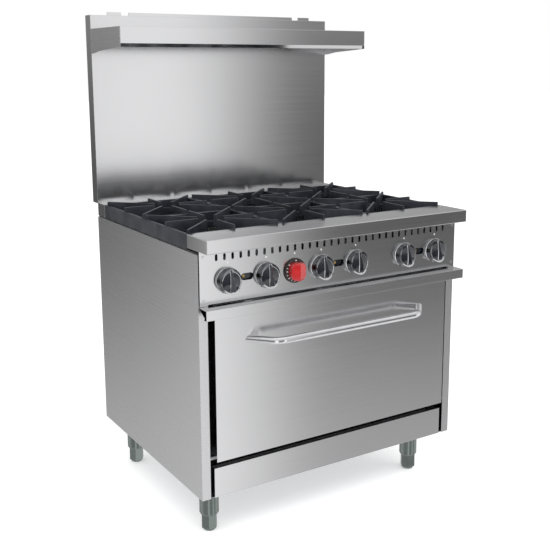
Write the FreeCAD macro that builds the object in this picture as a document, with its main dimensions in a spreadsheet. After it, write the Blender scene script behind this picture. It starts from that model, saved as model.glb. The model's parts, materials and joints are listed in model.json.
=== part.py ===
import FreeCAD, Part
import math
import os
import re
import Sketcher

# Commercial gas range with six open burners, one drop-door oven and a high-shelf backguard.
# Millimetres. +Z is up and -Y is the front. The origin is on the floor at the centre of the
# footprint, handle included. Depths ("_y" sizes) are measured from the front face of the body's
# stiles, and the helpers move them back by body_front_y into the part's own frame.

doc = FreeCAD.newDocument("gas_range")

DIMENSIONS = {
    # body shell
    "body_width": 914.4, "body_front_y": -344, "side_depth_y": 733.6, "sheet_gauge": 1.5,
    "base_z": 154.1, "side_top_z": 858.9, "stile_width": 27.7, "flange_width": 20,
    # kick panel and door
    "kick_half": 417.5, "kick_top_z": 241.8,
    "door_half": 414.5, "door_bottom_z": 264.7, "door_top_z": 684,
    "door_front_y": -12, "door_back_y": 38, "blanket_side_gap": 30, "blanket_end_gap": 10,
    "hinge_y": 7, "hinge_z": 272, "hinge_radius": 5, "running_gap": 0.05,
    "hinge_front": 10, "hinge_back": 16, "hinge_below": 5.5, "hinge_above": 40, "hinge_inset": 10,
    "hinge_plate_x": 434, "hinge_plate_thick": 6, "hinge_plate_half": 18,
    "handle_z": 607, "handle_y": -75, "handle_radius": 11, "handle_bar": 250, "handle_foot": 318,
    "handle_bend": 45, "handle_end": 15,
    # oven
    "frame_y": 42, "cavity_half": 335, "cavity_floor_z": 300, "cavity_roof_z": 655,
    "cavity_back_y": 620, "frame_top_z": 690, "frame_half": 440, "frame_lift": 6,
    "seal_thick": 3.6, "seal_inner": 10, "seal_outer": 24, "seal_below": 12, "seal_above": 20,
    "heat_slot_x": 280, "heat_slot_half": 12, "heat_slot_near_y": 150, "heat_slot_far_y": 520,
    "lagging_thick": 24, "lagging_gap": 2,
    "guide_radius": 5, "guide_inset": 6, "guide_pitch": 90, "guide_front_y": 60,
    "rack_front_y": 74, "rack_back_y": 590, "rack_bar_radius": 4, "rack_wire_radius": 2.5,
    "rack_wire_pitch": 33, "rack_side_gap": 4, "rack_rest": 4.3,
    "oven_burner_half": 120, "oven_burner_near_y": 110, "oven_burner_far_y": 540,
    "oven_burner_radius": 14, "oven_burner_drop": 40,
    "baffle_half": 240, "baffle_near_y": 90, "baffle_far_y": 570, "baffle_drop": 14,
    # crumb tray and its front ledge
    "ledge_front_y": -47, "ledge_back_y": -3, "ledge_top_z": 716, "ledge_bottom_z": 687.5,
    "ledge_hem": 14, "tray_half": 412, "tray_floor_z": 691, "tray_length_y": 600,
    "runner_reach": 14, "runner_gap": 0.4, "runner_overrun": 60,
    # control panel
    "panel_front_y": -5, "panel_half": 454.5, "panel_bottom_z": 720.5, "panel_top_z": 869,
    "panel_foot_gap": 0.6, "panel_screw_x": 443, "panel_screw_low_z": 733,
    "panel_screw_high_z": 853, "panel_screw_head": 1.6,
    "slot_half": 430, "vent_pitch": 25.2, "vent_width": 8, "vent_low_z": 838, "vent_top_z": 857,
    "knob_z": 781, "knob_radius": 34, "skirt_depth": 14, "knob_gap": 1, "stem_radius": 4,
    "shaft_hole_gap": 2, "grip_height": 62, "grip_width": 27, "grip_top_width": 11,
    "grip_depth": 30, "grip_top_depth": 12,
    "dial_radius": 36, "dial_thick": 7, "barrel_length": 29, "barrel_radius": 25,
    "barrel_tip_radius": 20, "thermostat_x": -153,
    "window_x": 308, "window_half": 19.5, "window_radius": 10, "window_z": 784,
    # gas ways
    "manifold_y": 34, "manifold_z": 751, "manifold_half": 400, "pipe_radius": 13.35,
    "elbow_swell": 3, "supply_x": 418, "collar_radius": 17.5, "collar_length": 36,
    "collar_end_y": 736, "inlet_length": 30, "hole_gap": 1,
    "valve_half": 12, "valve_front": 16, "valve_back": 14, "valve_above": 14, "valve_gap": 0.2,
    "nozzle_radius": 5, "nozzle_length": 8, "nozzle_drop": 8,
    "thermostat_half": 24, "thermostat_back": 40,
    "burner_radius": 48, "burner_top_z": 851, "crown_height": 6, "crown_inset": 8,
    "head_drop": 15, "bell_drop": 27, "bell_radius": 22, "throat_radius": 20,
    "venturi_radius": 13, "venturi_z": 800, "venturi_offset": 61.5, "venturi_mouth": 24,
    "mouth_length": 14, "mouth_flare": 5,
    # cooking top
    "rail_front_y": -54, "rail_back_y": 61.5, "rail_top_z": 907.1,
    "riser_near_y": 6, "riser_far_y": 50, "riser_inset": 20,
    "support_z": 864.5, "grate_front_y": 62.5, "grate_split_y": 365.7, "grate_back_y": 668.7,
    "support_bar": 24, "support_side": 26, "support_front": 16, "support_back": 14,
    "support_inset": 2,
    "grate_pitch": 304.8, "grate_gap": 0.8, "grate_rim_z": 906, "rim_thick": 9,
    "finger_top_z": 917, "finger_low_z": 884, "finger_inner": 42, "finger_straight": 144,
    "finger_diagonal": 203, "finger_half": 6, "finger_tip_half": 3,
    "bowl_radius": 96, "bowl_bar": 8, "bowl_height": 14, "bowl_drop": 8,
    "deck_front_y": 669.5, "deck_top_z": 906,
    # backguard and shelf
    "guard_front_y": 729.4, "guard_back_y": 774, "guard_bottom_z": 903, "guard_top_z": 1513.7,
    "flue_half": 320, "flue_near": 24, "flue_far": 6, "strip_inset": 15, "strip_thick": 2,
    "strip_height": 11, "strip_near_x": 345, "strip_far_x": 394,
    "post_x": 300, "post_half": 25, "post_gap": 3, "post_length": 160,
    "shelf_front_y": 485, "shelf_top_z": 1470, "shelf_face": 50, "shelf_lip": 11,
    "bracket_back_z": 1391, "bracket_knee": 70, "bracket_knee_rise": 8,
    "bracket_heel": 18, "bracket_heel_rise": 1,
    # legs
    "leg_spread_x": 381, "leg_front_y": 110, "leg_back_y": 659, "leg_radius": 29,
    "leg_plate_half": 38, "leg_wall": 3, "leg_chamfer": 6, "leg_plug": 12,
    "foot_radius": 25, "foot_height": 50, "foot_stem": 12, "foot_sole": 8, "sole_inset": 7,
    "stem_length": 70, "stem_root": 1,
}

# side of each part's column or row, as the sign or step that multiplies a spread or pitch
LEFT_RIGHT = {"left": -1, "right": 1}
COLUMNS = {"left": -1, "centre": 0, "right": 1}
BURNER_KNOBS = {1: -369, 2: -246.5, 3: -62, 4: 62, 5: 246.5, 6: 369}
VENT_COUNT = 33
RACK_LEVELS = (1, 2, 3)
RACK_WIRES = range(-9, 10)
SPOKES = 8
HEX_FLAT = math.cos(math.radians(30))  # a hexagon's inner radius over its outer one
PAST = 5  # how far a cutter runs past the face that it cuts


def make_sheet():
    """Keep every driving dimension in a spreadsheet, one aliased cell each."""
    sheet = doc.addObject("Spreadsheet::Sheet", "Dims")
    for row, (alias, value) in enumerate(DIMENSIONS.items(), start=1):
        sheet.set(f"A{row}", alias)
        sheet.set(f"B{row}", str(value))
        sheet.setAlias(f"B{row}", alias)
    doc.recompute()
    return sheet


sheet = make_sheet()
ALIAS = re.compile(r"\b(" + "|".join(DIMENSIONS) + r")\b")
pieces = []


def bind(obj, prop, formula):
    """Tie a property to a formula over the spreadsheet's aliases."""
    obj.setExpression(prop, ALIAS.sub(r"Dims.\g<0>", str(formula)))


def place(obj, x, y, z):
    bind(obj, "Placement.Base.x", x)
    bind(obj, "Placement.Base.y", f"({y}) + body_front_y")
    bind(obj, "Placement.Base.z", z)
    return obj


def box(x, y, z, wide, deep, high):
    """A box from its lowest corner and its three sizes."""
    obj = doc.addObject("Part::Box", "Box")
    bind(obj, "Length", wide)
    bind(obj, "Width", deep)
    bind(obj, "Height", high)
    return place(obj, x, y, z)


def span(x, y, z):
    """A box from three (low, high) pairs."""
    sizes = [f"({high}) - ({low})" for low, high in (x, y, z)]
    return box(x[0], y[0], z[0], *sizes)


def both_ways(half):
    """The (low, high) pair of a size that is centred on x = 0."""
    return f"-({half})", f"{half}"


def about(middle, half):
    """The (low, high) pair of a size that is centred on another place."""
    return f"{middle} - ({half})", f"{middle} + {half}"


def one_side(sign, near, far):
    """The (low, high) pair between two distances from x = 0, on one side of it."""
    if sign > 0:
        return near, far
    return f"-({far})", f"-({near})"


TURN = {"x": (FreeCAD.Vector(0, 1, 0), 90), "y": (FreeCAD.Vector(1, 0, 0), -90), "z": None}


def turn(obj, axis):
    """Point a part made along +Z along another axis."""
    if TURN[axis]:
        obj.Placement.Rotation = FreeCAD.Rotation(*TURN[axis])


def rod(axis, x, y, z, radius, length):
    """A cylinder that starts at a point and runs along +x, +y or +z."""
    obj = doc.addObject("Part::Cylinder", "Rod")
    turn(obj, axis)
    bind(obj, "Radius", radius)
    bind(obj, "Height", length)
    return place(obj, x, y, z)


def taper(axis, x, y, z, radius, end_radius, length):
    """A truncated cone that starts at a point and runs along +x, +y or +z."""
    obj = doc.addObject("Part::Cone", "Taper")
    turn(obj, axis)
    bind(obj, "Radius1", radius)
    bind(obj, "Radius2", end_radius)
    bind(obj, "Height", length)
    return place(obj, x, y, z)


def ball(x, y, z, radius):
    obj = doc.addObject("Part::Sphere", "Ball")
    bind(obj, "Radius", radius)
    return place(obj, x, y, z)


def fuse(*shapes):
    if len(shapes) == 1:
        return shapes[0]
    obj = doc.addObject("Part::MultiFuse", "Fuse")
    obj.Shapes = list(shapes)
    obj.Refine = True
    return obj


def group(*shapes):
    """Separate solids that share one node."""
    obj = doc.addObject("Part::Compound", "Group")
    obj.Links = list(shapes)
    return obj


def cut(base, *tools):
    obj = doc.addObject("Part::Cut", "Cut")
    obj.Base = base
    obj.Tool = group(*tools) if len(tools) > 1 else tools[0]
    return obj


def piece(label, obj):
    """Name a finished sub-part; the label names its file."""
    obj.Label = label
    pieces.append(obj)
    return obj


def profile(points, length, start=None):
    """A PartDesign body: a fully constrained outline of (depth, height) points, padded along X.

    The pad is symmetric about x = 0, or runs by length from x = start. Every point is tied to
    the spreadsheet.
    """
    body = doc.addObject("PartDesign::Body", "Body")
    origin = next(item for item in body.Origin.OriginFeatures if item.Role == "YZ_Plane")
    sketch = body.newObject("Sketcher::SketchObject", "Outline")
    sketch.AttachmentSupport = [(origin, "")]
    sketch.MapMode = "FlatFace"
    count = len(points)
    guide = [FreeCAD.Vector(index, index * index, 0) for index in range(count)]
    for index in range(count):
        sketch.addGeometry(Part.LineSegment(guide[index], guide[(index + 1) % count]), False)
    for index in range(count):
        sketch.addConstraint(Sketcher.Constraint("Coincident", index, 2, (index + 1) % count, 1))
    for index, (across, up) in enumerate(points):
        for kind, formula in (("DistanceX", f"({across}) + body_front_y"), ("DistanceY", up)):
            datum = sketch.addConstraint(Sketcher.Constraint(kind, -1, 1, index, 1, index + 1.0))
            bind(sketch, f"Constraints[{datum}]", formula)
    pad = body.newObject("PartDesign::Pad", "Pad")
    pad.Profile = sketch
    bind(pad, "Length", length)
    if start is None:
        pad.SideType = "Symmetric"
    else:
        bind(body, "Placement.Base.x", start)
    return body


def side_panels():
    """Body sides: one folded sheet each, with the front stile and rear, foot and top flanges."""
    half = "body_width / 2"
    depth = ("0", "side_depth_y")
    height = ("base_z", "side_top_z")
    for side, sign in LEFT_RIGHT.items():
        wall_x = one_side(sign, f"{half} - sheet_gauge", half)
        stile_x = one_side(sign, f"{half} - stile_width", half)
        flange_x = one_side(sign, f"{half} - flange_width", half)
        wall = span(wall_x, depth, height)
        stile = span(stile_x, ("0", "sheet_gauge"), height)
        rear = span(flange_x, ("side_depth_y - sheet_gauge", "side_depth_y"), height)
        foot = span(flange_x, depth, ("base_z", "base_z + sheet_gauge"))
        top = span(flange_x, depth, ("side_top_z - sheet_gauge", "side_top_z"))
        piece(f"side_panel_{side}", fuse(wall, stile, rear, foot, top))


def body_sheets():
    """Back sheet, base pan and kick panel."""
    inner = both_ways("body_width / 2 - sheet_gauge")
    back_y = ("side_depth_y - 2 * sheet_gauge", "side_depth_y - sheet_gauge")
    back_z = ("base_z + 2 * sheet_gauge", "side_top_z - sheet_gauge")
    gas_hole = rod("y", "supply_x", f"side_depth_y - 2 * {PAST}", "manifold_z",
                   "collar_radius + hole_gap", 3 * PAST)
    piece("rear_panel", cut(span(inner, back_y, back_z), gas_hole))

    pan_z = ("base_z + sheet_gauge", "base_z + 2 * sheet_gauge")
    piece("base_pan", span(inner, ("sheet_gauge", "side_depth_y - sheet_gauge"), pan_z))

    kick_x = both_ways("kick_half")
    turned = ("0", "flange_width")
    face = span(kick_x, ("0", "sheet_gauge"), ("base_z", "kick_top_z"))
    top = span(kick_x, turned, ("kick_top_z - sheet_gauge", "kick_top_z"))
    end_z = ("base_z + 2 * sheet_gauge", "kick_top_z")
    ends = [span(one_side(sign, "kick_half - sheet_gauge", "kick_half"), turned, end_z)
            for sign in LEFT_RIGHT.values()]
    piece("kick_panel", fuse(face, top, *ends))


def leg(x, y):
    """A hollow leg tube on its mounting plate, with a threaded plug for the foot."""
    plate = span(about(x, "leg_plate_half"), about(y, "leg_plate_half"),
                 ("base_z - sheet_gauge", "base_z + sheet_gauge"))
    chamfer = taper("z", x, y, "foot_height", "foot_radius + 1", "leg_radius", "leg_chamfer")
    shell = rod("z", x, y, "foot_height + leg_chamfer", "leg_radius",
                "base_z - foot_height - leg_chamfer - sheet_gauge")
    hollow = rod("z", x, y, "foot_height + leg_chamfer + leg_plug", "leg_radius - leg_wall",
                 "base_z - foot_height - 2 * leg_plug")
    thread = rod("z", x, y, "foot_height - stem_root", "foot_stem + running_gap", "2 * leg_plug")
    return cut(fuse(plate, chamfer, shell), hollow, thread)


def foot(x, y):
    """A hexagonal foot with a rounded sole and a stem that screws up into the leg."""
    body = doc.addObject("Part::Prism", "FootPrism")
    body.Polygon = 6
    bind(body, "Circumradius", "foot_radius")
    bind(body, "Height", "foot_height - foot_sole")
    place(body, x, y, "foot_sole")
    sole = taper("z", x, y, 0, "foot_radius - sole_inset", f"foot_radius * {HEX_FLAT}", "foot_sole")
    stem = rod("z", x, y, "foot_height - stem_root", "foot_stem", "stem_length")
    return fuse(body, sole, stem)


def legs():
    """Four leg tubes, and the feet that screw into them."""
    tubes = []
    for row in ("front", "back"):
        for side, sign in LEFT_RIGHT.items():
            x = f"{sign} * leg_spread_x"
            y = f"leg_{row}_y"
            tubes.append(leg(x, y))
            piece(f"foot_{row}_{side}", foot(x, y))
    piece("leg_tubes", group(*tubes))


def oven_box():
    """Enamelled front frame, walls, roof and slotted floor, with the blanket around them."""
    opening = span(both_ways("cavity_half"), ("frame_y - sheet_gauge", "frame_y + 2 * sheet_gauge"),
                   ("cavity_floor_z", "cavity_roof_z"))
    plate = span(both_ways("frame_half"), ("frame_y", "frame_y + sheet_gauge"),
                 ("base_z + frame_lift", "frame_top_z"))
    piece("oven_front_frame", cut(plate, opening))

    depth = ("frame_y + sheet_gauge", "cavity_back_y")
    outer_x = both_ways("cavity_half + sheet_gauge")
    walls = [span(one_side(sign, "cavity_half", "cavity_half + sheet_gauge"), depth,
                  ("cavity_floor_z", "cavity_roof_z")) for sign in LEFT_RIGHT.values()]
    walls.append(span(outer_x, ("cavity_back_y", "cavity_back_y + sheet_gauge"),
                      ("cavity_floor_z - sheet_gauge", "cavity_roof_z + sheet_gauge")))
    piece("oven_walls", group(*walls))
    piece("oven_roof", span(outer_x, depth, ("cavity_roof_z", "cavity_roof_z + sheet_gauge")))
    floor = span(outer_x, depth, ("cavity_floor_z - sheet_gauge", "cavity_floor_z"))
    slots = [span(about(f"{sign} * heat_slot_x", "heat_slot_half"),
                  ("heat_slot_near_y", "heat_slot_far_y"), about("cavity_floor_z", PAST))
             for sign in LEFT_RIGHT.values()]
    piece("oven_floor", cut(floor, *slots))

    thick = "lagging_gap + lagging_thick"
    block = span(both_ways(f"cavity_half + {thick}"),
                 ("frame_y + 2 * sheet_gauge", f"cavity_back_y + {thick}"),
                 ("cavity_floor_z", f"cavity_roof_z + {thick}"))
    core = span(both_ways("cavity_half + lagging_gap"), ("0", "cavity_back_y + lagging_gap"),
                ("0", "cavity_roof_z + lagging_gap"))
    piece("oven_insulation", cut(block, core))


def oven_rack():
    """Wire rack and the guide rods that carry it at one of three levels."""
    guide_length = "cavity_back_y - guide_front_y - 4 * guide_radius"
    guides = [rod("y", f"{sign} * (cavity_half - guide_inset)", "guide_front_y",
                  f"cavity_floor_z + {level} * guide_pitch", "guide_radius", guide_length)
              for sign in LEFT_RIGHT.values() for level in RACK_LEVELS]
    piece("rack_guides", group(*guides))

    bar_z = "cavity_floor_z + guide_pitch + guide_radius + rack_rest"
    wire_z = f"{bar_z} + rack_bar_radius - 1"
    bars = [rod("y", f"{index} * rack_wire_pitch", "rack_front_y", wire_z, "rack_wire_radius",
                "rack_back_y - rack_front_y") for index in RACK_WIRES]
    for y in ("rack_front_y", "(rack_front_y + rack_back_y) / 2", "rack_back_y"):
        bars.append(rod("x", "rack_side_gap - cavity_half", y, bar_z, "rack_bar_radius",
                        "2 * (cavity_half - rack_side_gap)"))
    piece("oven_rack", fuse(*bars))


def oven_heat():
    """Ring-shaped oven burner under the floor and the flame spreader over it."""
    z = "cavity_floor_z - oven_burner_drop"
    length = "oven_burner_far_y - oven_burner_near_y"
    arms = [rod("y", f"{sign} * oven_burner_half", "oven_burner_near_y", z, "oven_burner_radius", length)
            for sign in LEFT_RIGHT.values()]
    ties = [rod("x", "-oven_burner_half", y, z, "oven_burner_radius", "2 * oven_burner_half")
            for y in ("oven_burner_near_y", "oven_burner_far_y")]
    piece("oven_burner", fuse(*arms, *ties))
    low = "cavity_floor_z - baffle_drop"
    piece("oven_baffle", span(both_ways("baffle_half"), ("baffle_near_y", "baffle_far_y"),
                              (low, f"{low} + sheet_gauge")))


def door():
    """Drop-down oven door: folded outer pan, liner, blanket and the gasket that it shuts on."""
    shell = span(both_ways("door_half"), ("door_front_y", "door_back_y"), ("door_bottom_z", "door_top_z"))
    inner_x = both_ways("door_half - sheet_gauge")
    inner_z = ("door_bottom_z + sheet_gauge", "door_top_z - sheet_gauge")
    inside = span(inner_x, ("door_front_y + sheet_gauge", f"door_back_y + {PAST}"), inner_z)
    pin_cuts = rod("x", f"-door_half - {PAST}", "hinge_y", "hinge_z", "hinge_radius",
                   f"2 * (door_half + {PAST})")
    piece("door_outer_panel", cut(shell, inside, pin_cuts))
    piece("door_inner_panel", span(inner_x, ("door_back_y - sheet_gauge", "door_back_y"), inner_z))
    piece("door_insulation", span(both_ways("door_half - blanket_side_gap"),
                                  ("door_front_y + sheet_gauge", "door_back_y - sheet_gauge"),
                                  ("door_bottom_z + blanket_end_gap", "door_top_z - blanket_end_gap")))

    seal_out = span(both_ways("cavity_half + seal_outer"), ("frame_y - seal_thick", "frame_y"),
                    ("cavity_floor_z - seal_below", "cavity_roof_z + seal_above"))
    seal_in = span(both_ways("cavity_half + seal_inner"), about("frame_y", PAST),
                   ("cavity_floor_z - seal_below + seal_inner", "cavity_roof_z + seal_above - seal_below"))
    piece("door_gasket", cut(seal_out, seal_in))


def door_hinges():
    """Hinge blocks inside the door with a pin each, and the body plates that they turn in."""
    hinges = []
    plates = []
    end = "frame_half - 1"
    for sign in LEFT_RIGHT.values():
        block = span(one_side(sign, "door_half - flange_width", "door_half - sheet_gauge"),
                     ("hinge_y - hinge_front", "hinge_y + hinge_back"),
                     ("hinge_z - hinge_below", "hinge_z + hinge_above"))
        start = "door_half - hinge_inset" if sign > 0 else f"-({end})"
        pin = rod("x", start, "hinge_y", "hinge_z", "hinge_radius", f"{end} - door_half + hinge_inset")
        hinges.append(fuse(block, pin))
        middle = f"{sign} * hinge_plate_x"
        plate = span(about(middle, "hinge_plate_thick / 2"), ("sheet_gauge", "frame_y"),
                     about("hinge_z", "hinge_plate_half"))
        bore = rod("x", f"{middle} - hinge_plate_thick", "hinge_y", "hinge_z",
                   "hinge_radius + running_gap", "2 * hinge_plate_thick")
        plates.append(cut(plate, bore))
    piece("door_hinges", group(*hinges))
    piece("hinge_brackets", group(*plates))


def size(alias):
    """A driving dimension as a number, for the few shapes made with Part's own functions."""
    return float(sheet.get(alias))


def rounded_path(corners, radius):
    """Straight runs joined by tangent arcs at the inner corners."""
    edges = []
    start = corners[0]
    for before, corner, after in zip(corners, corners[1:], corners[2:]):
        back = (before - corner).normalize()
        ahead = (after - corner).normalize()
        half_turn = back.getAngle(ahead) / 2
        bisector = (back + ahead).normalize()
        first = corner + back * (radius / math.tan(half_turn))
        last = corner + ahead * (radius / math.tan(half_turn))
        middle = corner + bisector * (radius / math.sin(half_turn) - radius)
        edges.append(Part.LineSegment(start, first).toShape())
        edges.append(Part.Arc(first, middle, last).toShape())
        start = last
    edges.append(Part.LineSegment(start, corners[-1]).toShape())
    return Part.Wire(edges)


def door_handle():
    """Hollow round bar on two slanted ends that run back to the door's face."""
    face = size("door_front_y")
    bar, foot_x, radius = size("handle_bar"), size("handle_foot"), size("handle_radius")
    ends_y = face + size("handle_end")
    bar_y = size("handle_y")
    points = [(-foot_x, ends_y), (-bar, bar_y), (bar, bar_y), (foot_x, ends_y)]
    corners = [FreeCAD.Vector(x, y, 0) for x, y in points]
    path = rounded_path(corners, size("handle_bend"))
    solids = []
    for reach in (radius, radius - size("sheet_gauge")):
        ring = Part.makeCircle(reach, corners[0], corners[1] - corners[0])
        solids.append(path.makePipeShell([Part.Wire([ring])], True, True))
    behind = Part.makeBox(4 * foot_x, 4 * radius, 4 * radius, FreeCAD.Vector(-2 * foot_x, face, -2 * radius))
    obj = doc.addObject("Part::Feature", "Handle")
    obj.Shape = solids[0].cut(solids[1]).cut(behind)
    obj.Placement.Base = FreeCAD.Vector(0, size("body_front_y"), size("handle_z"))
    piece("door_handle", obj)


def obround(x, z, half_length, radius, upright):
    """A slot-shaped cutter through the control panel, upright or lying along x."""
    y = f"panel_front_y - {PAST}"
    reach = f"({half_length}) - ({radius})"
    ends = []
    for sign in LEFT_RIGHT.values():
        end_x = x if upright else f"{x} + {sign} * ({reach})"
        end_z = f"{z} + {sign} * ({reach})" if upright else z
        ends.append(rod("y", end_x, y, end_z, radius, 2 * PAST))
    wide, high = (radius, reach) if upright else (reach, radius)
    middle = box(f"{x} - ({wide})", y, f"{z} - ({high})", f"2 * ({wide})", 2 * PAST, f"2 * ({high})")
    return fuse(*ends, middle)


def control_panel():
    """Front control panel with vent slots, pilot windows and knob shaft holes."""
    width = both_ways("panel_half")
    depth = ("panel_front_y", "panel_front_y + sheet_gauge")
    face = span(width, depth, ("panel_bottom_z", "panel_top_z"))
    feet = [span(one_side(sign, "slot_half", "panel_half"), depth,
                 ("ledge_top_z + panel_foot_gap", "panel_bottom_z")) for sign in LEFT_RIGHT.values()]
    top = span(width, ("panel_front_y", "0"), ("panel_top_z - sheet_gauge", "panel_top_z"))
    vent_z = "(vent_low_z + vent_top_z) / 2"
    vent_half = "(vent_top_z - vent_low_z) / 2"
    middle = (VENT_COUNT - 1) / 2
    cutters = [obround(f"{index - middle} * vent_pitch", vent_z, vent_half, "vent_width / 2", True)
               for index in range(VENT_COUNT)]
    cutters += [obround(f"{column} * window_x", "window_z", "window_half", "window_radius", False)
                for column in COLUMNS.values()]
    cutters += [rod("y", x, f"panel_front_y - {PAST}", "knob_z", "stem_radius + shaft_hole_gap", 2 * PAST)
                for x in [*BURNER_KNOBS.values(), "thermostat_x"]]
    piece("control_panel", cut(fuse(face, top, *feet), *cutters))

    heads = [taper("y", f"{sign} * panel_screw_x", "panel_front_y - panel_screw_head", z,
                   "2 * panel_screw_head", "2.5 * panel_screw_head", "panel_screw_head")
             for sign in LEFT_RIGHT.values() for z in ("panel_screw_low_z", "panel_screw_high_z")]
    piece("panel_screws", group(*heads))


def knobs():
    """Burner knobs with a wedge grip on a round skirt, and the oven thermostat knob."""
    back = "panel_front_y - knob_gap"
    face = f"{back} - skirt_depth"
    stem_length = "manifold_y - panel_front_y"
    wedge = {"Ymax": "grip_height", "Xmax": "grip_width", "Zmax": "grip_depth", "Z2max": "grip_top_depth",
             "X2min": "(grip_width - grip_top_width) / 2", "X2max": "(grip_width + grip_top_width) / 2",
             "Xmin": 0, "Ymin": 0, "Zmin": 0, "Z2min": 0}
    for number, x in BURNER_KNOBS.items():
        skirt = rod("y", x, face, "knob_z", "knob_radius", "skirt_depth")
        stem = rod("y", x, back, "knob_z", "stem_radius", stem_length)
        grip = doc.addObject("Part::Wedge", "Grip")
        for prop, value in wedge.items():
            bind(grip, prop, value)
        grip.Placement.Rotation = FreeCAD.Rotation(FreeCAD.Vector(1, 0, 0), 90)
        place(grip, f"{x} - grip_width / 2", face, "knob_z - grip_height / 2")
        piece(f"burner_knob_{number}", fuse(skirt, grip, stem))

    dial = rod("y", "thermostat_x", f"{back} - dial_thick", "knob_z", "dial_radius", "dial_thick")
    barrel = taper("y", "thermostat_x", f"{back} - dial_thick - barrel_length", "knob_z",
                   "barrel_tip_radius", "barrel_radius", "barrel_length")
    stem = rod("y", "thermostat_x", back, "knob_z", "stem_radius", stem_length)
    piece("thermostat_knob", fuse(dial, barrel, stem))


def valve_body(x, half, back, above):
    """A valve block on the manifold, bored for the knob's stem."""
    low = "manifold_z + pipe_radius + valve_gap"
    body = span(about(x, half), ("manifold_y - valve_front", f"manifold_y + {back}"),
                (low, f"knob_z + {above}"))
    bore = rod("y", x, "manifold_y - 2 * valve_front", "knob_z", "stem_radius + running_gap",
               f"4 * valve_front + {back}")
    return cut(body, bore)


def valves():
    """Burner valves with a gas nozzle each, and the oven thermostat."""
    bodies = []
    for x in BURNER_KNOBS.values():
        nozzle = rod("y", x, "manifold_y + valve_back", "venturi_z - nozzle_drop", "nozzle_radius",
                     "nozzle_length")
        bodies.append(fuse(valve_body(x, "valve_half", "valve_back", "valve_above"), nozzle))
    piece("burner_valves", group(*bodies))
    piece("thermostat_valve", valve_body("thermostat_x", "thermostat_half", "thermostat_back",
                                         "thermostat_half"))


def gas_pipe():
    """Manifold along the front, and the supply pipe with its collar and threaded inlet."""
    manifold = rod("x", "-manifold_half", "manifold_y", "manifold_z", "pipe_radius",
                   "manifold_half + supply_x")
    supply = rod("y", "supply_x", "manifold_y", "manifold_z", "pipe_radius",
                 "collar_end_y + inlet_length - manifold_y")
    collar = rod("y", "supply_x", "collar_end_y - collar_length", "manifold_z", "collar_radius",
                 "collar_length")
    elbow = ball("supply_x", "manifold_y", "manifold_z", "pipe_radius + elbow_swell")
    piece("gas_pipe", fuse(manifold, supply, collar, elbow))


def top_burner(x, sign, row_y):
    """One cast burner: a round head on a bell, fed by a bent venturi tube from the front."""
    tube_x = f"{x} + {sign} * venturi_offset"
    mouth_y = "manifold_y + venturi_mouth"
    tube = rod("y", tube_x, mouth_y, "venturi_z", "venturi_radius", f"{row_y} - ({mouth_y})")
    mouth = taper("y", tube_x, mouth_y, "venturi_z", "venturi_radius + mouth_flare", "venturi_radius",
                  "mouth_length")
    arm = rod("x", tube_x if sign < 0 else x, row_y, "venturi_z", "venturi_radius", "venturi_offset")
    knee = ball(tube_x, row_y, "venturi_z", "venturi_radius + 1")
    head_z = "burner_top_z - crown_height - head_drop + 6"
    bell_z = "burner_top_z - bell_drop"
    throat = rod("z", x, row_y, "venturi_z - venturi_radius", "throat_radius",
                 f"{bell_z} - venturi_z + venturi_radius + 1")
    bell = taper("z", x, row_y, bell_z, "bell_radius", "burner_radius", f"{head_z} - ({bell_z})")
    head = rod("z", x, row_y, head_z, "burner_radius", f"burner_top_z - crown_height - ({head_z})")
    crown = taper("z", x, row_y, "burner_top_z - crown_height", "burner_radius",
                  "burner_radius - crown_inset", "crown_height")
    return fuse(tube, mouth, arm, knee, throat, bell, head, crown)


def top_burners():
    """Two burners per column, with their tubes on either side of the column's middle."""
    rows = {-1: "(grate_front_y + grate_split_y) / 2", 1: "(grate_split_y + grate_back_y) / 2"}
    for name, column in COLUMNS.items():
        heads = [top_burner(f"{column} * grate_pitch", sign, row_y) for sign, row_y in rows.items()]
        piece(f"top_burners_{name}", group(*heads))


def cooktop():
    """Frame that carries the grates, the front landing rail and the rear deck strip."""
    half = "body_width / 2 - support_inset"
    z = ("side_top_z", "support_z")
    near_y, back_y = "sheet_gauge", "guard_front_y"
    bars = [span(both_ways(half), (near_y, "grate_front_y + support_front"), z),
            span(both_ways(half), ("grate_back_y - support_back", back_y), z),
            span(both_ways(half), about("grate_split_y", "support_bar / 2"), z)]
    for sign in LEFT_RIGHT.values():
        bars.append(span(one_side(sign, f"{half} - support_side", half), (near_y, back_y), z))
        bars.append(span(about(f"{sign} * grate_pitch / 2", "support_bar / 2"), (near_y, back_y), z))
    piece("cooktop_frame", fuse(*bars))

    riser = span(both_ways(f"{half} - riser_inset"), ("riser_near_y", "riser_far_y"),
                 ("support_z", "panel_top_z"))
    outer = span(both_ways("body_width / 2"), ("rail_front_y", "rail_back_y"), ("panel_top_z", "rail_top_z"))
    hollow = span(both_ways("body_width / 2 - sheet_gauge"),
                  ("rail_front_y + sheet_gauge", "rail_back_y - sheet_gauge"),
                  ("panel_top_z + sheet_gauge", "rail_top_z - sheet_gauge"))
    piece("front_rail", fuse(cut(outer, hollow), riser))

    deck = span(both_ways("body_width / 2"), ("deck_front_y", "guard_front_y"), ("support_z", "deck_top_z"))
    inside = span(both_ways("body_width / 2 - sheet_gauge"),
                  ("deck_front_y + sheet_gauge", "guard_front_y - sheet_gauge"),
                  ("support_z - 1", "deck_top_z - sheet_gauge"))
    piece("rear_deck_strip", cut(deck, inside))


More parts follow.
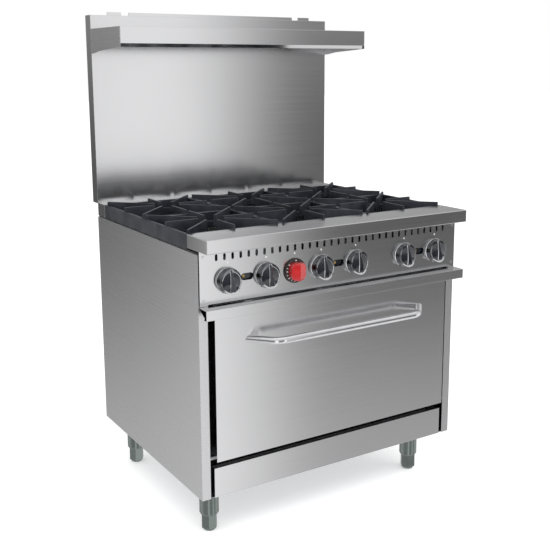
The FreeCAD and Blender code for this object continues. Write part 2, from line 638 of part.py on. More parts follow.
def fin(x, y, stop, angle):
    """One cast grate finger along a spoke: a tapered fin between two radii from (x, y)."""
    obj = doc.addObject("Part::Wedge", "Fin")
    for prop, value in {"Xmin": "finger_inner", "X2min": "finger_inner", "Xmax": stop, "X2max": stop,
                        "Ymin": 0, "Ymax": "finger_top_z - finger_low_z",
                        "Zmin": "-finger_half", "Zmax": "finger_half",
                        "Z2min": "-finger_tip_half", "Z2max": "finger_tip_half"}.items():
        bind(obj, prop, value)
    spin = FreeCAD.Rotation(FreeCAD.Vector(0, 0, 1), angle)
    obj.Placement.Rotation = spin * FreeCAD.Rotation(FreeCAD.Vector(1, 0, 0), 90)
    return place(obj, x, y, "finger_low_z")


def grate(x, near, far):
    """A lift-off cast grate: a deep rim, eight spokes and a bowl ring under the spokes."""
    y = f"({near} + {far}) / 2"
    half = "grate_pitch / 2 - grate_gap"
    rim = span(about(x, half), (near, far), ("support_z", "grate_rim_z"))
    well = span(about(x, f"({half} - rim_thick)"), (f"{near} + rim_thick", f"{far} - rim_thick"),
                ("support_z - 1", "grate_rim_z + 1"))
    spokes = [fin(x, y, "finger_diagonal" if spoke % 2 else "finger_straight", 360 / SPOKES * spoke)
              for spoke in range(SPOKES)]
    bowl_z = "finger_low_z - bowl_drop"
    ring = cut(rod("z", x, y, bowl_z, "bowl_radius", "bowl_height"),
               rod("z", x, y, f"{bowl_z} - 1", "bowl_radius - bowl_bar", "bowl_height + 2"))
    return fuse(cut(rim, well), ring, *spokes)


def grates():
    """Six grates in two rows of three."""
    rows = {"front": ("grate_front_y", "grate_split_y - grate_gap / 2"),
            "back": ("grate_split_y + grate_gap / 2", "grate_back_y")}
    for row, (near, far) in rows.items():
        for name, column in COLUMNS.items():
            piece(f"grate_{row}_{name}", grate(f"{column} * grate_pitch", near, far))


def backguard():
    """Backguard riser that doubles as the oven flue, its back cover, posts and top strip."""
    half = "body_width / 2"
    outer = span(both_ways(half), ("guard_front_y", "guard_back_y - sheet_gauge"),
                 ("guard_bottom_z", "guard_top_z"))
    inside = span(both_ways(f"{half} - sheet_gauge"), ("guard_front_y + sheet_gauge", "guard_back_y"),
                  ("guard_bottom_z + sheet_gauge", "guard_top_z - sheet_gauge"))
    flue = span(both_ways("flue_half"), ("guard_front_y + flue_near", "guard_back_y - flue_far"),
                about("guard_top_z", PAST))
    piece("backguard_shell", cut(outer, inside, flue))
    piece("backguard_cover", span(both_ways(half), ("guard_back_y - sheet_gauge", "guard_back_y"),
                                  ("guard_bottom_z", "guard_top_z")))

    strip_y = ("guard_front_y + strip_inset", "guard_front_y + strip_inset + strip_thick")
    strip_z = ("guard_top_z", "guard_top_z + strip_height")
    strips = [span(one_side(sign, "strip_near_x", "strip_far_x"), strip_y, strip_z)
              for sign in LEFT_RIGHT.values()]
    strips.append(span(both_ways("flue_half"), strip_y, strip_z))
    piece("flue_top_strip", group(*strips))

    posts = [span(about(f"{sign} * post_x", "post_half"), ("side_depth_y", "guard_back_y - post_gap"),
                  ("side_top_z - post_length", "guard_bottom_z")) for sign in LEFT_RIGHT.values()]
    piece("backguard_posts", group(*posts))


def high_shelf():
    """Shelf sheet with a deep front face and slanted hem, and its two end brackets."""
    front, top, thick = "shelf_front_y", "shelf_top_z", "sheet_gauge"
    back = f"guard_front_y - {thick}"
    low = f"{top} - shelf_face"
    hem_rise = "0.4 * sheet_gauge"  # inner corner of the slanted hem, so that the hem keeps its gauge
    outline = [(front, top), (front, low),
               (f"{front} + shelf_lip", f"{low} - shelf_lip"),
               (f"{front} + shelf_lip + {thick}", f"{low} - shelf_lip + {thick}"),
               (f"{front} + {thick}", f"{low} + {hem_rise}"),
               (f"{front} + {thick}", f"{top} - {thick}"),
               (back, f"{top} - {thick}"), (back, top)]
    piece("high_shelf", profile(outline, f"body_width - 2 * {thick}"))

    end = [(front, top), (front, f"{low} - shelf_lip"),
           ("guard_front_y - bracket_knee", "bracket_back_z + bracket_knee_rise"),
           ("guard_front_y - bracket_heel", "bracket_back_z + bracket_heel_rise"),
           ("guard_front_y", "bracket_back_z"), ("guard_front_y", top)]
    for side, sign in LEFT_RIGHT.items():
        start = one_side(sign, f"body_width / 2 - {thick}", "body_width / 2")[0]
        piece(f"shelf_bracket_{side}", profile(end, thick, start))


def crumb_tray():
    """Full-width crumb tray, the ledge that pulls it out, and its runners."""
    front, back, low, high = "ledge_front_y", "ledge_back_y", "ledge_bottom_z", "ledge_top_z"
    gauge = "sheet_gauge"
    outline = [(front, high), (front, low), (f"{front} + ledge_hem", low),
               (f"{front} + ledge_hem", f"{low} + {gauge}"), (f"{front} + {gauge}", f"{low} + {gauge}"),
               (f"{front} + {gauge}", f"{high} - {gauge}"), (back, f"{high} - {gauge}"), (back, high)]
    piece("front_ledge", profile(outline, "body_width"))

    outer = span(both_ways("tray_half"), (back, "tray_length_y"), ("tray_floor_z", high))
    inside = span(both_ways("tray_half - sheet_gauge"),
                  (f"{back} + sheet_gauge", "tray_length_y - sheet_gauge"),
                  ("tray_floor_z + sheet_gauge", f"{high} + 1"))
    piece("crumb_tray", cut(outer, inside))

    runner_z = ("tray_floor_z - runner_gap - sheet_gauge", "tray_floor_z - runner_gap")
    runner_y = ("runner_overrun", "tray_length_y + runner_overrun")
    runners = [span(one_side(sign, "tray_half - runner_reach", "frame_half + runner_reach"),
                    runner_y, runner_z) for sign in LEFT_RIGHT.values()]
    piece("tray_runners", group(*runners))


def check_and_export():
    """Stop on any failed feature or bad shape, then write one STEP file per sub-part."""
    doc.recompute()
    for obj in doc.Objects:
        if {"Invalid", "Error"} & set(obj.State):
            raise RuntimeError(f"{obj.Label} failed: {obj.State}")
    for obj in pieces:
        if obj.Shape.isNull() or not obj.Shape.isValid() or not obj.Shape.Solids:
            raise RuntimeError(f"{obj.Label} has no valid solid")
    os.makedirs("parts", exist_ok=True)
    for obj in pieces:
        obj.Shape.exportStep(f"parts/{obj.Label}.step")
    print(f"{len(pieces)} sub-parts written")


side_panels()
body_sheets()
legs()
oven_box()
oven_rack()
oven_heat()
door()
door_hinges()
door_handle()
control_panel()
knobs()
valves()
gas_pipe()
top_burners()
cooktop()
grates()
backguard()
high_shelf()
crumb_tray()
check_and_export()
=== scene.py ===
import json
import math

import bmesh
import bpy
from mathutils import Matrix, Vector


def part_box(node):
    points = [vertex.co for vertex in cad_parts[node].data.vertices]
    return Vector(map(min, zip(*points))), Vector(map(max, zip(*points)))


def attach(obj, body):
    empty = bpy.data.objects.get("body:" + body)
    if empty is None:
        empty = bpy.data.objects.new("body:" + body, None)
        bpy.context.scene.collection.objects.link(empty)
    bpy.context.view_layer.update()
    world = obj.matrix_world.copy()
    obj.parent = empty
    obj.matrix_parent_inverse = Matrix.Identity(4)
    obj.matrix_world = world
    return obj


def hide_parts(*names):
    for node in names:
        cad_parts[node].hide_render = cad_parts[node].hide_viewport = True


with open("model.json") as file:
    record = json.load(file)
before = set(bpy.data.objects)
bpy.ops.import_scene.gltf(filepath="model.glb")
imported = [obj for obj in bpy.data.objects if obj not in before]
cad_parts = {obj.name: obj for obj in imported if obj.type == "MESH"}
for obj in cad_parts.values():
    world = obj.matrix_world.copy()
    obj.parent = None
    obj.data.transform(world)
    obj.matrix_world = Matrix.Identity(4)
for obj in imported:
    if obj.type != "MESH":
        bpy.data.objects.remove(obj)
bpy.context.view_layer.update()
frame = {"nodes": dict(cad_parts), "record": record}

MM = 0.001
COLUMNS = ("left", "centre", "right")
ROWS = ("front", "back")
KNOB_NUMBERS = range(1, 7)


# ---------------------------------------------------------------- stage and camera

def make_camera():
    """The camera stands front-left of the range, less than half a metre above its cooking top."""
    azimuth, elevation, roll = math.radians(-32.21), math.radians(10.77), math.radians(-0.16)
    back = Vector((math.sin(azimuth) * math.cos(elevation),
                   -math.cos(azimuth) * math.cos(elevation), math.sin(elevation)))
    data = bpy.data.cameras.new("camera")
    data.sensor_width = 36.0
    data.lens = 58.0
    data.shift_x = -0.0179
    data.shift_y = -0.0768
    data.clip_start, data.clip_end = 0.1, 100.0
    camera = bpy.data.objects.new("camera", data)
    bpy.context.scene.collection.objects.link(camera)
    camera.rotation_mode = "QUATERNION"
    camera.location = (-1.4844, -2.4110, 1.3566)
    look = (-back).to_track_quat("-Z", "Y").to_matrix()
    camera.rotation_quaternion = (look @ Matrix.Rotation(roll, 3, "Z")).to_quaternion()
    bpy.context.scene.camera = camera


def link(obj):
    bpy.context.scene.collection.objects.link(obj)
    return obj


def mesh_object(name, bm):
    mesh = bpy.data.meshes.new(name)
    bm.to_mesh(mesh)
    bm.free()
    return link(bpy.data.objects.new(name, mesh))


def plane(name, corners, material):
    bm = bmesh.new()
    bm.faces.new([bm.verts.new(corner) for corner in corners])
    obj = mesh_object(name, bm)
    obj.data.materials.append(material)
    return obj


def area_light(name, location, target, size, power):
    data = bpy.data.lights.new(name, "AREA")
    data.shape = "RECTANGLE"
    data.size, data.size_y = size
    data.energy = power
    light = link(bpy.data.objects.new(name, data))
    light.location = location
    light.rotation_euler = (Vector(target) - Vector(location)).to_track_quat("-Z", "Y").to_euler()
    light.visible_glossy = False
    return light


# What the steel reflects: a tent that is pale below, dark grey near the horizon and pale above, with
# four cards in it, 15 to 50 degrees wide, whose edges fade over 10 degrees. Azimuth 0 is straight out
# of the door and grows towards the range's right side. TENT_BASE pairs the height of a unit direction
# with a brightness.
TENT_BASE = ((-1.0, 0.8), (-0.45, 0.5), (-0.15, 0.1), (0.5, 0.7), (1.0, 1.0))
CARD_ELEVATIONS = (-60, 15)
CARD_SOFTNESS = 5
CARDS = {
    # azimuths, brightness
    "key": ((15, 30), 1.1),
    "right": ((50, 95), 0.9),
    "left": ((-40, -20), 1.1),
    "rear_left": ((-150, -100), 0.8),
}
TENT_RADIUS = 30.0
TENT_HEIGHT = 0.8
FLOOR_HALF = 30


class Maths:
    """Short calls for chains of math nodes in one node tree."""

    def __init__(self, tree):
        self.tree = tree

    def run(self, operation, *values):
        node = self.tree.nodes.new("ShaderNodeMath")
        node.operation = operation
        for socket, value in zip(node.inputs, values):
            if isinstance(value, (int, float)):
                socket.default_value = value
            else:
                self.tree.links.new(value, socket)
        return node.outputs[0]

    def step(self, value, start, stop):
        """A smooth step from 0 at start to 1 at stop."""
        node = self.tree.nodes.new("ShaderNodeMapRange")
        node.interpolation_type = "SMOOTHSTEP"
        node.inputs["From Min"].default_value = start
        node.inputs["From Max"].default_value = stop
        self.tree.links.new(value, node.inputs["Value"])
        return node.outputs[0]

    def window(self, value, low, high, soft):
        """1 between low and high, with edges that fade over twice soft."""
        rise = self.step(value, low - soft, low + soft)
        fall = self.step(value, high + soft, high - soft)
        return self.run("MULTIPLY", rise, fall)


def tent_material():
    material = bpy.data.materials.new("studio_tent")
    material.use_nodes = True
    tree = material.node_tree
    tree.nodes.clear()
    maths = Maths(tree)
    place = tree.nodes.new("ShaderNodeTexCoord").outputs["Object"]
    length = tree.nodes.new("ShaderNodeVectorMath")
    length.operation = "NORMALIZE"
    tree.links.new(place, length.inputs[0])
    split = tree.nodes.new("ShaderNodeSeparateXYZ")
    tree.links.new(length.outputs[0], split.inputs[0])
    x, y, z = split.outputs
    azimuth = maths.run("DEGREES", maths.run("ARCTAN2", x, maths.run("MULTIPLY", y, -1.0)))
    elevation = maths.run("DEGREES", maths.run("ARCSINE", z))
    shade = TENT_BASE[0][1]
    for (low, before), (high, after) in zip(TENT_BASE, TENT_BASE[1:]):
        shade = maths.run("MULTIPLY_ADD", maths.step(z, low, high), after - before, shade)
    upright = maths.window(elevation, *CARD_ELEVATIONS, CARD_SOFTNESS)
    for azimuths, brightness in CARDS.values():
        across = maths.window(azimuth, *azimuths, CARD_SOFTNESS)
        mask = maths.run("MULTIPLY", across, upright)
        difference = maths.run("SUBTRACT", brightness, shade)
        shade = maths.run("MULTIPLY_ADD", mask, difference, shade)
    glow = tree.nodes.new("ShaderNodeEmission")
    tree.links.new(shade, glow.inputs["Color"])
    out = tree.nodes.new("ShaderNodeOutputMaterial")
    tree.links.new(glow.outputs[0], out.inputs[0])
    material.cycles.emission_sampling = "NONE"
    return material


def make_tent():
    """A tent round the range that the camera, shadows and diffuse light don't see."""
    bm = bmesh.new()
    bmesh.ops.create_icosphere(bm, subdivisions=4, radius=TENT_RADIUS)
    tent = mesh_object("studio_tent", bm)
    tent.data.materials.append(tent_material())
    tent.location = (0, 0, TENT_HEIGHT)
    tent.visible_camera = False
    tent.visible_diffuse = False
    tent.visible_shadow = False


def make_stage():
    """A flat white floor under a white sky, two soft lights, and the tent that the steel reflects."""
    world = bpy.data.worlds.new("world")
    bpy.context.scene.world = world
    world.use_nodes = True
    background = world.node_tree.nodes["Background"]
    background.inputs["Color"].default_value = (1, 1, 1, 1)
    background.inputs["Strength"].default_value = 1.0
    world.cycles_visibility.glossy = False

    paper = bpy.data.materials.new("floor_paper")
    paper.use_nodes = True
    shader = paper.node_tree.nodes["Principled BSDF"]
    shader.inputs["Base Color"].default_value = (0.93, 0.93, 0.93, 1)
    shader.inputs["Roughness"].default_value = 0.9
    shader.inputs["Specular IOR Level"].default_value = 0.0
    shader.inputs["Emission Color"].default_value = (1, 1, 1, 1)
    shader.inputs["Emission Strength"].default_value = 0.3
    corners = [(-FLOOR_HALF, -FLOOR_HALF, 0), (FLOOR_HALF, -FLOOR_HALF, 0),
               (FLOOR_HALF, FLOOR_HALF, 0), (-FLOOR_HALF, FLOOR_HALF, 0)]
    floor = plane("floor", corners, paper)
    floor.visible_glossy = False
    make_tent()

    area_light("key_light", location=(-1.6, -2.6, 3.4), target=(0, 0, 0.8), size=(2.4, 1.6), power=60)
    area_light("fill_light", location=(2.6, -2.2, 2.6), target=(0, 0, 0.7), size=(2.0, 2.0), power=25)

    scene = bpy.context.scene
    scene.view_settings.view_transform = "Standard"
    scene.view_settings.look = "None"


# ---------------------------------------------------------------- materials

class Nodes:
    """A short way to build one procedural material around a Principled shader."""

    def __init__(self, name, base, metallic, roughness):
        self.material = bpy.data.materials.new(name)
        self.material.use_nodes = True
        self.tree = self.material.node_tree
        self.shader = self.tree.nodes["Principled BSDF"]
        self.set("Base Color", (*base, 1))
        self.set("Metallic", metallic)
        self.set("Roughness", roughness)
        self.place = self.tree.nodes.new("ShaderNodeTexCoord").outputs["Object"]

    def set(self, socket, value):
        self.shader.inputs[socket].default_value = value

    def join(self, output, node, socket):
        self.tree.links.new(output, node.inputs[socket])

    def noise(self, stretch, scale=1.0, detail=3.0):
        """Noise over object space, stretched by the scale of each axis."""
        mapping = self.tree.nodes.new("ShaderNodeMapping")
        mapping.inputs["Scale"].default_value = stretch
        self.join(self.place, mapping, "Vector")
        texture = self.tree.nodes.new("ShaderNodeTexNoise")
        texture.inputs["Scale"].default_value = scale
        texture.inputs["Detail"].default_value = detail
        self.join(mapping.outputs[0], texture, "Vector")
        return texture.outputs["Fac"]

    def spread(self, value, low, high, start=0.3, stop=0.7):
        """Map a 0..1 noise to a range of values."""
        ramp = self.tree.nodes.new("ShaderNodeMapRange")
        for socket, number in (("From Min", start), ("From Max", stop), ("To Min", low), ("To Max", high)):
            ramp.inputs[socket].default_value = number
        self.join(value, ramp, "Value")
        return ramp.outputs[0]

    def colours(self, value, low, high, start=0.3, stop=0.7):
        ramp = self.tree.nodes.new("ShaderNodeValToRGB")
        ramp.color_ramp.elements[0].position = start
        ramp.color_ramp.elements[1].position = stop
        ramp.color_ramp.elements[0].color = (*low, 1)
        ramp.color_ramp.elements[1].color = (*high, 1)
        self.join(value, ramp, "Fac")
        return ramp.outputs[0]

    def bump(self, value, strength, distance):
        node = self.tree.nodes.new("ShaderNodeBump")
        node.inputs["Strength"].default_value = strength
        node.inputs["Distance"].default_value = distance
        self.join(value, node, "Height")
        self.join(node.outputs[0], self.shader, "Normal")


def brushed_steel(name, grain, base=(0.70, 0.70, 0.71), rough=(0.14, 0.18)):
    """Stainless sheet with a fine grain: grain is the noise scale of each axis."""
    made = Nodes(name, base, 1.0, 0.28)
    fine = made.noise(grain, detail=2.0)
    broad = made.noise((3, 3, 3), detail=2.0)
    made.join(made.spread(fine, *rough), made.shader, "Roughness")
    tone = [channel * 0.95 for channel in base]
    mixed = made.tree.nodes.new("ShaderNodeMix")
    mixed.inputs["Factor"].default_value = 0.4
    made.join(fine, mixed, "A")
    made.join(broad, mixed, "B")
    made.join(made.colours(mixed.outputs[0], tone, base), made.shader, "Base Color")
    made.bump(fine, 0.02, 0.0001)
    made.set("Anisotropic", 0.6)
    made.set("Anisotropic Rotation", 0.25)
    tangent = made.tree.nodes.new("ShaderNodeTangent")
    tangent.direction_type = "RADIAL"
    tangent.axis = "Z"
    made.join(tangent.outputs[0], made.shader, "Tangent")
    return made.material


def plain_metal(name, base, rough, grain=60.0, bump=0.05):
    """Metal with cloudy colour and roughness; bump 0 leaves its surface smooth."""
    made = Nodes(name, base, 1.0, sum(rough) / 2)
    cloud = made.noise((grain, grain, grain), detail=4.0)
    made.join(made.spread(cloud, *rough), made.shader, "Roughness")
    tone = [channel * 0.88 for channel in base]
    made.join(made.colours(cloud, tone, base), made.shader, "Base Color")
    made.bump(cloud, bump, 0.0004)
    return made.material


def cast_iron():
    """Seasoned black casting: coarse pitted skin with a bluish sheen."""
    made = Nodes("cast_iron", (0.03, 0.033, 0.04), 0.3, 0.4)
    pits = made.noise((420, 420, 420), detail=5.0)
    cloud = made.noise((18, 18, 18), detail=3.0)
    made.join(made.spread(cloud, 0.28, 0.46), made.shader, "Roughness")
    made.join(made.colours(cloud, (0.018, 0.021, 0.027), (0.046, 0.051, 0.062)), made.shader, "Base Color")
    made.bump(pits, 0.35, 0.0008)
    return made.material


def coating(name, low, high, rough, coat=0.0, grain=40.0, bump=0.06):
    """Enamel, paint or moulded plastic: slight mottling over a smooth skin."""
    made = Nodes(name, high, 0.0, sum(rough) / 2)
    cloud = made.noise((grain, grain, grain), detail=4.0)
    made.join(made.colours(cloud, low, high), made.shader, "Base Color")
    made.join(made.spread(cloud, *rough), made.shader, "Roughness")
    made.bump(cloud, bump, 0.0003)
    made.set("Coat Weight", coat)
    return made.material


def fibre(name, low, high):
    """Mineral fibre blanket or woven seal."""
    made = Nodes(name, high, 0.0, 0.9)
    fluff = made.noise((260, 260, 260), detail=6.0)
    made.join(made.colours(fluff, low, high), made.shader, "Base Color")
    made.bump(fluff, 0.8, 0.002)
    return made.material


def make_materials():
    return {
        "steel": brushed_steel("steel_brushed_wide", (2, 900, 900)),
        "steel_side": brushed_steel("steel_brushed_deep", (900, 2, 900), rough=(0.27, 0.29)),
        "galvanised": plain_metal("galvanised_sheet", (0.56, 0.58, 0.60), (0.40, 0.48), grain=70.0),
        "chrome": plain_metal("polished_chrome", (0.86, 0.86, 0.88), (0.04, 0.09), grain=30.0, bump=0.0),
        "dark_chrome": plain_metal("dark_chrome", (0.21, 0.215, 0.23), (0.05, 0.09), grain=30.0, bump=0.0),
        "nickel": plain_metal("nickel_plate", (0.24, 0.275, 0.26), (0.14, 0.22), grain=80.0, bump=0.0),
        "brass": plain_metal("machined_brass", (0.66, 0.47, 0.18), (0.25, 0.4), grain=120.0),
        "iron": cast_iron(),
        "enamel": coating("black_enamel", (0.006, 0.006, 0.007), (0.016, 0.016, 0.018), (0.18, 0.32),
                          coat=0.3),
        "pipe": coating("black_pipe", (0.015, 0.015, 0.016), (0.035, 0.034, 0.034), (0.4, 0.6)),
        "black": coating("black_phenolic", (0.004, 0.005, 0.008), (0.010, 0.012, 0.018), (0.10, 0.18),
                         coat=0.6),
        "dial": coating("dial_phenolic", (0.018, 0.012, 0.012), (0.034, 0.022, 0.021), (0.22, 0.34),
                        coat=0.2),
        "red": coating("red_phenolic", (0.36, 0.006, 0.008), (0.44, 0.010, 0.012), (0.16, 0.22), coat=1.0),
        "white": coating("white_print", (0.75, 0.75, 0.74), (0.85, 0.85, 0.84), (0.4, 0.5)),
        "lagging": fibre("fibre_blanket", (0.42, 0.38, 0.26), (0.70, 0.66, 0.50)),
        "seal": fibre("woven_seal", (0.02, 0.02, 0.02), (0.07, 0.07, 0.07)),
    }


# ---------------------------------------------------------------- CAD nodes

SLOT_MATERIALS = {
    "stainless": "steel", "enamel": "enamel", "galvanised": "galvanised", "iron": "iron",
    "chrome_trim": "chrome", "red_knob": "red", "brass_valve": "brass", "gas_steel": "pipe",
    "leg_nickel": "nickel", "lagging": "lagging", "seal": "seal",
}
DEEP_GRAIN = ("side_panel_left", "side_panel_right", "shelf_bracket_left", "shelf_bracket_right")
WELD_DISTANCE = 0.01 * MM
FLAT_ANGLE = 0.6
BEVEL_ANGLE = 30
BEVEL_SEGMENTS = 3
SMALL_BEVEL = 0.0006
BEVELS = {"front_rail": 0.004, "front_ledge": 0.003, "backguard_shell": 0.0015, "high_shelf": 0.0012,
          "door_outer_panel": 0.003, "kick_panel": 0.002, "control_panel": 0.0005,
          **{f"grate_{row}_{column}": 0.0022 for row in ROWS for column in COLUMNS}}


def soften(obj, width):
    """Round the sharp edges of a CAD node with modifiers.

    Its own vertices and faces stay as they are: only their smooth shading is switched on.
    """
    weld = obj.modifiers.new("weld", "WELD")
    weld.merge_threshold = WELD_DISTANCE
    flat = obj.modifiers.new("flat", "DECIMATE")
    flat.decimate_type = "DISSOLVE"
    flat.angle_limit = math.radians(FLAT_ANGLE)
    bevel = obj.modifiers.new("bevel", "BEVEL")
    bevel.width = width
    bevel.segments = BEVEL_SEGMENTS
    bevel.limit_method = "ANGLE"
    bevel.angle_limit = math.radians(BEVEL_ANGLE)
    bevel.use_clamp_overlap = True
    even = obj.modifiers.new("even", "WEIGHTED_NORMAL")
    even.mode = "FACE_AREA"
    even.weight = 100
    obj.data.polygons.foreach_set("use_smooth", [True] * len(obj.data.polygons))
    obj.data.update()


def dress_cad_nodes(materials):
    slots = {row["node"]: row["material_slot"] for row in frame["record"]["subparts"]}
    for name, obj in frame["nodes"].items():
        key = SLOT_MATERIALS[slots[name]]
        if name in DEEP_GRAIN:
            key = "steel_side"
        obj.data.materials.clear()
        obj.data.materials.append(materials[key])
        soften(obj, BEVELS.get(name, SMALL_BEVEL))


# ---------------------------------------------------------------- knobs, printed dots, pilot windows

# Lengths multiplied by MM are in metres. The other lengths are in millimetres, profiles among them:
# a profile is (radius, depth) points. FIRST_MARK and MARK_STEP are degrees.
# The materials of a knob's shell, in the order of its material slots.
DARK, CHROME, BLACK = 0, 1, 2
KNOB_RADIUS = 34 * MM
FACET_RADIUS = 28
KNOB_ROWS = 44
KNOB_RIM = 20
LIP_BELOW, LIP_SLOPE = 20, 0.6
CHROME_RIM_BELOW, CHROME_BAR_BELOW = 24, 28
# Rings from the face back to the panel: (scale of the outline, depth). Two of them are chrome.
KNOB_DRUM = ((1.01, 12), (1.05, 3.2), (1.08, 2.4), (1.08, 0.6), (0.5, 0.2))
DRUM_CHROME = (2.4, 0.6)
PANEL_GAP = 1 * MM
PRINT_THICK = 0.15 * MM
INDICATOR_RISE = 50 * MM
STEM = [(0, -26), (3.6, -26), (4, -25.4), (4, -0.2), (0, -0.2)]
DIAL = [(0, 0.2), (34.8, 0.2), (35.8, 1.0), (36, 2.0), (35.2, 5.0), (34.2, 6.2), (33.0, 6.6),
        (26, 6.6), (25.4, 6.3), (24.8, 6.3), (0, 6.3)]
DIAL_TOP = 6.6 * MM
TOP_DOT = [(0, 6.4), (1.9, 6.4), (1.9, 6.8), (0, 6.8)]
TICK_RING = 30 * MM
NUMBER_RING = 29.3 * MM
FIRST_MARK, MARK_STEP, MARKS = 140, 20, 13
FIRST_NUMBER, NUMBER_STEP = 50, 20
GRIP_HALF_WIDTH, GRIP_HALF_HEIGHT = 24, 26
GRIP_BASE, GRIP_SIDE, GRIP_FACE, GRIP_RIDGE = 6.3, 22.5, 24, 7.0
GRIP_ROWS = 30
WINDOW_X = (-308 * MM, 0.0, 308 * MM)
WINDOW_Z = 784 * MM
# The black box behind each pilot window is painted shade for the dark space inside the range.
SHADE_SCREEN_SIZE = (48 * MM, 1.5 * MM, 30 * MM)
SHADE_SCREEN_DEPTH = 9.5 * MM
PILOT_TIP = [(0, 0), (3.8, 0), (4.4, 0.6), (4.4, 2.2), (3.6, 3.0), (1.6, 3.0), (1.4, 2.2), (0, 2.2)]
PANEL_DOT = [(0, -0.1), (2.6, -0.1), (2.6, 0.2), (2.3, 0.25), (0, 0.25)]


def middle(node):
    """The centre of a CAD node's box."""
    low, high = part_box(node)
    return [(a + b) / 2 for a, b in zip(low, high)]


def panel_face():
    """The depth (Y) of the control panel's front face."""
    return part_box("control_panel")[0][1]


def knob_profile(z):
    """One level across a knob's face: (x, depth) in mm from the left rim to the right, and materials.

    Two facets rise like a roof from the rim to a bar that widens and stands further out towards the
    bottom. Thin chrome lines edge the facets, and a chrome lip closes the bottom.
    """
    radius = KNOB_RADIUS / MM
    level = (radius - z) / (2 * radius)
    chord = math.sqrt(max(radius * radius - z * z, 0))
    facet = math.sqrt(max(FACET_RADIUS ** 2 - (z + 2) ** 2, 0))
    facet = min(max(facet, 0.25 * chord), 0.86 * chord)
    front = min(1.8 + 7.5 * level, 0.55 * facet)
    lip = max(0.0, -z - LIP_BELOW) * LIP_SLOPE
    rim = KNOB_RIM + 2 * level + lip
    proud = rim + max(1.0, (2 + 11 * level) * math.sqrt(facet / FACET_RADIUS) - lip)
    rim_slot = CHROME if z < -CHROME_RIM_BELOW else DARK
    front_slot = CHROME if z < -CHROME_BAR_BELOW else BLACK
    half = [(chord, rim - 7, rim_slot), (0.985 * chord, rim - 3.2, rim_slot),
            (0.955 * chord, rim - 1.2, rim_slot), (0.92 * chord, rim - 0.2, rim_slot),
            (min(facet + 1.3, 0.9 * chord), rim + 0.5, CHROME), (facet, rim + 0.4, BLACK),
            (front + 1.1, proud - 0.9, CHROME), (front, proud, front_slot)]
    left = [(-x, depth) for x, depth, _ in half]
    right = [(x, depth) for x, depth, _ in reversed(half)]
    slots = [slot for _, _, slot in half]
    return left + right, slots[:-1] + [front_slot] + slots[-2::-1]


def burner_knob(number, materials):
    """Dark mirror knob with chrome edge lines, on a drum that widens towards the panel."""
    node = f"burner_knob_{number}"
    centre_x, _, centre_z = middle(node)
    face = panel_face() - PANEL_GAP
    bm = bmesh.new()
    grid = []
    for row in range(KNOB_ROWS + 1):
        z = KNOB_RADIUS / MM * math.sin(math.pi * (row / KNOB_ROWS - 0.5) * 0.96)
        points, slots = knob_profile(z)
        grid.append([bm.verts.new((centre_x + x * MM, face - depth * MM, centre_z + z * MM))
                     for x, depth in points])
    for lower, upper in zip(grid, grid[1:]):
        for index, slot in enumerate(slots_of(lower, upper, centre_z)):
            quad = bm.faces.new((lower[index], lower[index + 1], upper[index + 1], upper[index]))
            quad.material_index = slot
    outline = [row[-1] for row in grid] + grid[-1][-2:0:-1] + [row[0] for row in reversed(grid)]
    outline += grid[0][1:-1]
    last = outline
    for spread, depth in KNOB_DRUM:
        ring = [bm.verts.new((centre_x + (vert.co.x - centre_x) * spread, face - depth * MM,
                              centre_z + (vert.co.z - centre_z) * spread)) for vert in outline]
        for index in range(len(ring)):
            after = (index + 1) % len(ring)
            quad = bm.faces.new((last[index], last[after], ring[after], ring[index]))
            quad.material_index = CHROME if depth in DRUM_CHROME else DARK
        last = ring
    bm.faces.new(last)
    bmesh.ops.recalc_face_normals(bm, faces=bm.faces)
    knob = mesh_object(f"knob_{number}_shell", bm)
    for key in ("dark_chrome", "chrome", "black"):
        knob.data.materials.append(materials[key])
    smooth(knob, 20)
    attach(knob, f"knob_{number}")
    stem = turned(f"knob_{number}_stem", (centre_x, face, centre_z), STEM, materials["brass"], segments=32)
    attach(stem, f"knob_{number}")
    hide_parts(node)
    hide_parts(node)


def slots_of(lower, upper, centre_z):
    """The material of each strip between two levels of a knob."""
    return knob_profile(((lower[0].co.z + upper[0].co.z) / 2 - centre_z) / MM)[1]


def smooth(obj, angle):
    """Shade smoothly, with edges sharper than the angle kept crisp."""
    obj.data.polygons.foreach_set("use_smooth", [True] * len(obj.data.polygons))
    obj.data.set_sharp_from_angle(angle=math.radians(angle))


def turned(name, centre, profile, material, segments=64):
    """A lathe-turned piece: (radius, depth) points in mm, turned about the knob's axis.

    Depth grows out of the panel, towards the cook.
    """
    bm = bmesh.new()
    rings = []
    for radius, depth in profile:
        count = 1 if radius == 0 else segments
        ring = []
        for index in range(count):
            angle = 2 * math.pi * index / segments
            across, up = radius * MM * math.cos(angle), radius * MM * math.sin(angle)
            ring.append(bm.verts.new((centre[0] + across, centre[1] - depth * MM, centre[2] + up)))
        rings.append(ring)
    for first, second in zip(rings, rings[1:]):
        for index in range(segments):
            after = (index + 1) % segments
            quad = [first[index % len(first)], first[after % len(first)],
                    second[after % len(second)], second[index % len(second)]]
            corners = list(dict.fromkeys(quad))
            if len(corners) > 2:
                bm.faces.new(corners)
    bmesh.ops.recalc_face_normals(bm, faces=bm.faces)
    obj = mesh_object(name, bm)
    obj.data.materials.append(material)
    smooth(obj, 35)
    return obj


